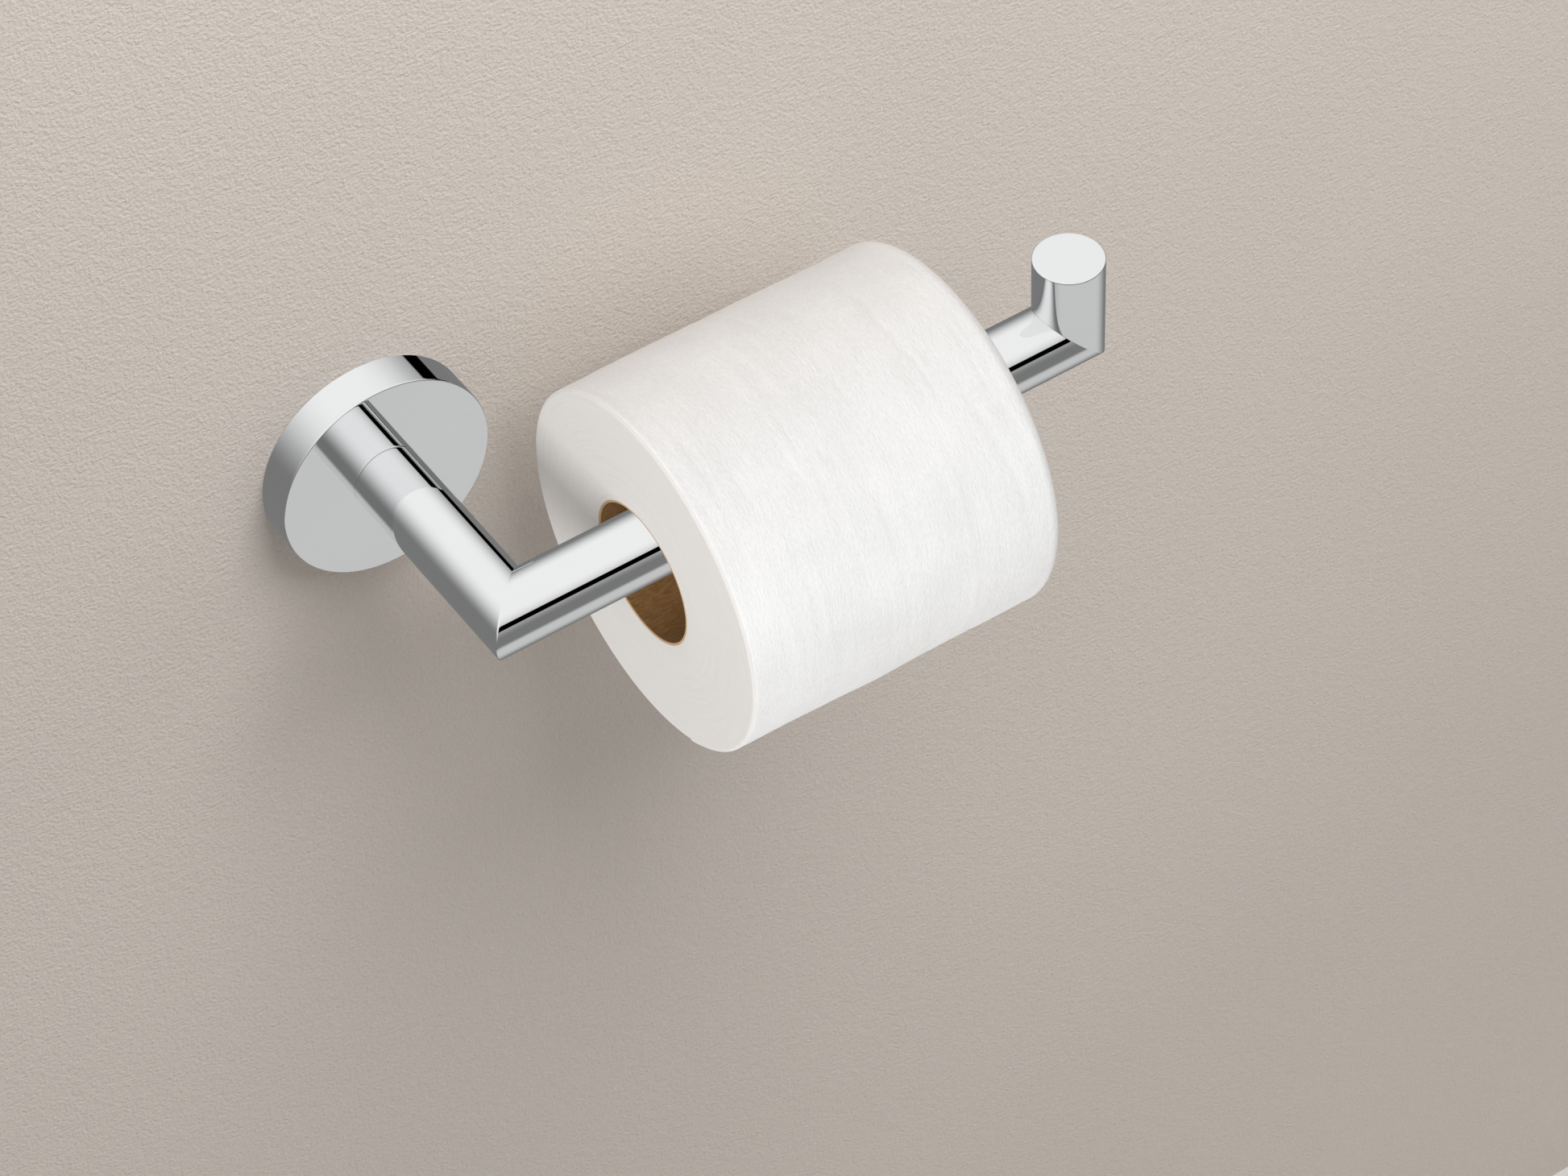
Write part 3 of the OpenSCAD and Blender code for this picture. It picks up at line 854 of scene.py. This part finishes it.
# %% [markdown]
# ## Finishes of the fixings
#
# The pieces behind the flange and inside the tubes keep their exact CAD shape and get their own finishes:
# die-cast zinc with the satin grain of the tumbler, bright zinc-plated screws, a dull stainless set screw,
# grey nylon plugs and a turned brass plug.


# %% Metal and nylon recipes
def fixing_finish(name, dark, light, metallic, smoothest, roughest, grains, depth_m, level=0.5):
    """A finish with wandering colour and polish and a grain of a given depth."""
    material, tree, shader, place = new_material(name)
    spots = uneven(tree, place, 160.0, 0.0, 1.0)
    tree.links.new(blend_colours(tree, spots, (*dark, 1), (*light, 1)), shader.inputs["Base Color"])
    tree.links.new(uneven(tree, place, 240.0, smoothest, roughest), shader.inputs["Roughness"])
    height = grain(tree, place, grains, grains / 6, 0.35)
    tree.links.new(bump(tree, height, depth_m), shader.inputs["Normal"])
    shader.inputs["Metallic"].default_value = metallic
    shader.inputs["Specular IOR Level"].default_value = level
    return material


finishes = {
    "bracket_zinc": fixing_finish(
        "cast_zinc_bracket", (0.50, 0.50, 0.51), (0.64, 0.64, 0.65), 1.0, 0.34, 0.5, 1800, 0.04 * MM),
    "corner_zinc": fixing_finish(
        "cast_zinc_corner", (0.48, 0.48, 0.48), (0.62, 0.62, 0.61), 1.0, 0.4, 0.55, 1400, 0.05 * MM),
    "screw_steel": fixing_finish(
        "plated_screw_steel", (0.66, 0.66, 0.63), (0.78, 0.78, 0.76), 1.0, 0.18, 0.32, 2600, 0.01 * MM),
    "set_screw_steel": fixing_finish(
        "dull_set_screw", (0.32, 0.32, 0.33), (0.44, 0.44, 0.45), 1.0, 0.28, 0.42, 2600, 0.01 * MM),
    "plug_nylon": fixing_finish(
        "grey_nylon", (0.40, 0.42, 0.45), (0.47, 0.49, 0.52), 0.0, 0.38, 0.52, 2200, 0.012 * MM),
    "plug_brass": fixing_finish(
        "turned_brass", (0.72, 0.55, 0.26), (0.84, 0.67, 0.34), 1.0, 0.2, 0.34, 2400, 0.008 * MM),
}
for subpart in frame["record"]["subparts"]:
    finish = finishes.get(subpart["material_slot"])
    if finish:
        mesh = frame["nodes"][subpart["node"]].data
        mesh.materials.clear()
        mesh.materials.append(finish)
print("finished", sorted(finishes))

# %% [markdown]
# ## The studio: a plastered wall and a pale floor
#
# A holder hangs on a wall, so it is shown on one: matt paint in a warm grey on fine plaster. The wall is
# a single sheet, with an opening behind the flange where its back can be seen. Both sheets can be looked
# through from behind, so that the holder's back and underside can be seen too, and mirrors don't see
# them, because bright chrome wants a calm studio round it.


# %% Stage sheets
def stage_sheet(name, points, material, facing, closed=False):
    """A stage surface from a grid of points, facing a given way."""
    rows, columns = points.shape[:2]
    numbers = np.arange(rows * columns).reshape(rows, columns)
    if closed:
        numbers = np.concatenate([numbers, numbers[:, :1]], 1)
    corners = [numbers[:-1, :-1], numbers[:-1, 1:], numbers[1:, 1:], numbers[1:, :-1]]
    faces = np.stack(corners, -1).reshape(-1, 4)
    flat = points.reshape(-1, 3)
    first = flat[faces[0]]
    if np.cross(first[1] - first[0], first[2] - first[0]) @ facing < 0:
        faces = faces[:, ::-1]
    mesh = bpy.data.meshes.new(name)
    mesh.from_pydata(flat.tolist(), [], faces.tolist())
    mesh.materials.append(material)
    sheet = bpy.data.objects.new(name, mesh)
    bpy.context.scene.collection.objects.link(sheet)
    sheet.visible_glossy = False
    return sheet


def one_sided(tree, shader):
    """Makes a stage material clear from behind."""
    clear = add(tree, "ShaderNodeBsdfTransparent").outputs[0]
    behind = add(tree, "ShaderNodeNewGeometry").outputs["Backfacing"]
    mix = add(tree, "ShaderNodeMixShader", {0: behind, 1: shader.outputs[0], 2: clear})
    tree.links.new(mix.outputs[0], tree.nodes["Material Output"].inputs["Surface"])


paint, tree, shader, place = new_material("wall_paint")
pores = noise(tree, place, 950.0, 3.0, 0.6)
flecks = calc(tree, "MULTIPLY_ADD", pores, 0.6, calc(tree, "MULTIPLY", noise(tree, place, 3.0, 3.0, 0.5), 0.4))
warm_grey = blend_colours(
    tree, between(tree, flecks, 0.3, 0.7, 0.0, 1.0), (0.625, 0.567, 0.515, 1), (0.687, 0.622, 0.567, 1))
tree.links.new(warm_grey, shader.inputs["Base Color"])
pits = calc(tree, "MULTIPLY", noise(tree, place, 330.0, 2.0, 0.5), 0.55)
plaster = calc(tree, "MULTIPLY_ADD", pores, 1.0, pits)
tree.links.new(bump(tree, plaster, 0.55 * MM, 1.0), shader.inputs["Normal"])
shader.inputs["Roughness"].default_value = 0.92
shader.inputs["Specular IOR Level"].default_value = 0.15
one_sided(tree, shader)

floor_paint, tree, shader, place = new_material("floor_paint")
shade = noise(tree, place, 5.0, 2.0, 0.5)
pale_grey = blend_colours(tree, shade, (0.78, 0.77, 0.75, 1), (0.82, 0.81, 0.79, 1))
tree.links.new(pale_grey, shader.inputs["Base Color"])
shader.inputs["Roughness"].default_value = 0.8
one_sided(tree, shader)

heading = np.linspace(0, 2 * np.pi, 64, endpoint=False)
opening_r = flange_r - 2.2 * MM
square = np.stack([np.cos(heading), np.sin(heading)], -1) / np.maximum(
    np.abs(np.cos(heading)), np.abs(np.sin(heading)))[:, None]
opening = opening_r * np.stack([np.cos(heading), np.sin(heading)], -1)
rings = [opening, square * [0.9, 0.55], square * [2.4, 1.6]]
wall_points = np.array([np.stack([ring[:, 0], 0 * heading, ring[:, 1]], -1) for ring in rings])
wall_points[1:, :, 0] += 0.1
wall = stage_sheet("stage_wall", wall_points, paint, -Y, closed=True)
floor_z = -0.68
corners_x, corners_y = np.meshgrid([-2.6, 2.8], [-3.2, 0.0], indexing="ij")
floor_points = np.stack([corners_x, corners_y, 0 * corners_x + floor_z], -1)
floor = stage_sheet("stage_floor", floor_points, floor_paint, Z)

# %% [markdown]
# ## Light
#
# Polished chrome has hardly a colour of its own: it shows the room. So the studio for it is kept plain: a
# bright ceiling, a dim band at the height of furniture, and a floor that is pale out in the room and dim at
# the foot of the wall. One long black strip is hung on the right, as is usual with bright metal,
# because a mirror needs something black to show where it turns. It slopes, higher in front than at the wall.
#
# All of this could be a picture wrapped round the scene. Four tones and a strip are easier to understand
# and to change, and each can be named. Only mirrors see them: matt surfaces get a plain white sky.

# %% The studio that mirrors see
PALE_FLOOR = 0.60
WALL_FOOT = 0.20
FURNITURE = 0.20
CEILING = 0.95
STRIP_FRONT, STRIP_BACK, STRIP_HALF = 18.0, 2.0, 7.0

world = bpy.data.worlds.new("studio")
bpy.context.scene.world = world
world.use_nodes = True
tree = world.node_tree
tree.nodes.clear()
way = add(tree, "ShaderNodeSeparateXYZ", {0: add(tree, "ShaderNodeTexCoord").outputs["Generated"]}).outputs
to_degrees = 180 / math.pi
elevation = calc(tree, "MULTIPLY", calc(tree, "ARCSINE", way[2]), to_degrees)
to_room = calc(tree, "MULTIPLY", way[1], -1.0)
heading = calc(tree, "MULTIPLY", calc(tree, "ARCTAN2", way[0], to_room), to_degrees)
floor_tone = between(tree, way[1], -0.4, 0.3, PALE_FLOOR, WALL_FOOT)
above_floor = between(tree, elevation, -44.0, -30.0, 0.0, 1.0)
above_furniture = between(tree, elevation, -10.0, 50.0, 0.0, 1.0)
tone = add(tree, "ShaderNodeMix", {0: above_floor, 2: floor_tone, 3: FURNITURE}).outputs[0]
tone = add(tree, "ShaderNodeMix", {0: above_furniture, 2: tone, 3: CEILING}).outputs[0]
strip_middle = between(tree, heading, 20.0, 130.0, STRIP_FRONT, STRIP_BACK, "LINEAR")
off_strip = calc(tree, "ABSOLUTE", calc(tree, "SUBTRACT", elevation, strip_middle))
clear_of_strip = between(tree, off_strip, STRIP_HALF - 1.0, STRIP_HALF + 1.0, 0.0, 1.0)
left_of_strip = between(tree, heading, 5.0, 10.0, 1.0, 0.0)
right_of_strip = between(tree, heading, 140.0, 145.0, 0.0, 1.0)
beside_strip = calc(tree, "MAXIMUM", left_of_strip, right_of_strip)
mirrored = calc(tree, "MULTIPLY", tone, calc(tree, "MAXIMUM", clear_of_strip, beside_strip))
for_mirrors = add(tree, "ShaderNodeBackground", {0: mirrored, 1: 1.0}).outputs[0]
for_matt = add(tree, "ShaderNodeBackground", {0: (1.0, 1.0, 1.0, 1), 1: 0.30}).outputs[0]
choice = add(tree, "ShaderNodeMixShader", {
    0: add(tree, "ShaderNodeLightPath").outputs["Is Glossy Ray"], 1: for_matt, 2: for_mirrors})
tree.links.new(choice.outputs[0], add(tree, "ShaderNodeOutputWorld").inputs[0])
print("studio tones", PALE_FLOOR, WALL_FOOT, FURNITURE, CEILING)

# %% [markdown]
# ## Lamps
#
# The matt wall and the matt paper want light from different sides: the wall is lit from the right, so that
# the holder's shadow falls down and to the left, and the paper from above and from the left, so that it
# looks round. One set of lamps can't do both. A lamp's light linking names the objects that it lights, so
# there are three soft lamps for the stage and three for the holder and its roll.


# %% Lamps
def stage_group(name, link_state):
    """The stage as a group for lamps: INCLUDE lights the stage alone, EXCLUDE lights all but the stage."""
    group = bpy.data.collections.new(name)
    for sheet in (wall, floor):
        group.objects.link(sheet)
    for member in group.collection_objects:
        member.light_linking.link_state = link_state
    return group


def soft_lamp(name, place, size, power, receivers):
    """A square lamp that faces the holder's middle and that neither the camera nor a mirror sees."""
    data = bpy.data.lights.new(name, "AREA")
    data.shape = "SQUARE"
    data.size = size
    data.energy = power
    lamp = bpy.data.objects.new(name, data)
    bpy.context.scene.collection.objects.link(lamp)
    lamp.location = place
    lamp.rotation_mode = "QUATERNION"
    lamp.rotation_quaternion = (Vector((0.05, -0.03, -0.05)) - Vector(place)).to_track_quat("-Z", "Y")
    lamp.visible_camera = False
    lamp.visible_glossy = False
    lamp.light_linking.receiver_collection = receivers
    return lamp


on_stage = stage_group("lit_stage", "INCLUDE")
on_holder = stage_group("lit_holder", "EXCLUDE")
soft_lamp("wall_key", (0.25, -0.75, 1.20), 0.8, 15.0, on_stage)
soft_lamp("wall_side", (1.00, -0.90, 0.35), 0.7, 2.5, on_stage)
soft_lamp("wall_near", (0.40, -0.25, 0.80), 0.4, 1.5, on_stage)
soft_lamp("paper_top", (0.30, -0.35, 1.25), 0.5, 6.5, on_holder)
soft_lamp("paper_left", (-1.10, -0.80, 0.40), 0.8, 12.0, on_holder)
soft_lamp("paper_low", (0.10, -1.00, -0.50), 0.8, 4.5, on_holder)

# %% [markdown]
# ## Camera
#
# A long lens from above and to the left, with no depth of field. The frame is as wide as the sensor.

# %% Camera
camera_place = (-0.46670, -0.94391, 1.06230)
lens_mm = 128.55
view_right_turn = math.radians(32.30)
look_down = math.radians(46.99)
tilt = math.radians(-2.54)
look = np.array([
    math.sin(view_right_turn) * math.cos(look_down),
    math.cos(view_right_turn) * math.cos(look_down),
    -math.sin(look_down),
])
level_right = np.array([math.cos(view_right_turn), -math.sin(view_right_turn), 0.0])
level_up = np.cross(level_right, look)
right = level_right * math.cos(tilt) + level_up * math.sin(tilt)
upward = -level_right * math.sin(tilt) + level_up * math.cos(tilt)
camera_data = bpy.data.cameras.new("camera")
camera_data.sensor_width = 36.0
camera_data.lens = lens_mm
camera_data.clip_start, camera_data.clip_end = 0.05, 20.0
camera = bpy.data.objects.new("camera", camera_data)
bpy.context.scene.collection.objects.link(camera)
turned = np.eye(4)
turned[:3, 0], turned[:3, 1], turned[:3, 2] = right, upward, -look
turned[:3, 3] = camera_place
camera.matrix_world = Matrix(turned.tolist())
bpy.context.scene.camera = camera
bpy.context.scene.view_settings.view_transform = "Standard"
bpy.context.scene.view_settings.look = "None"
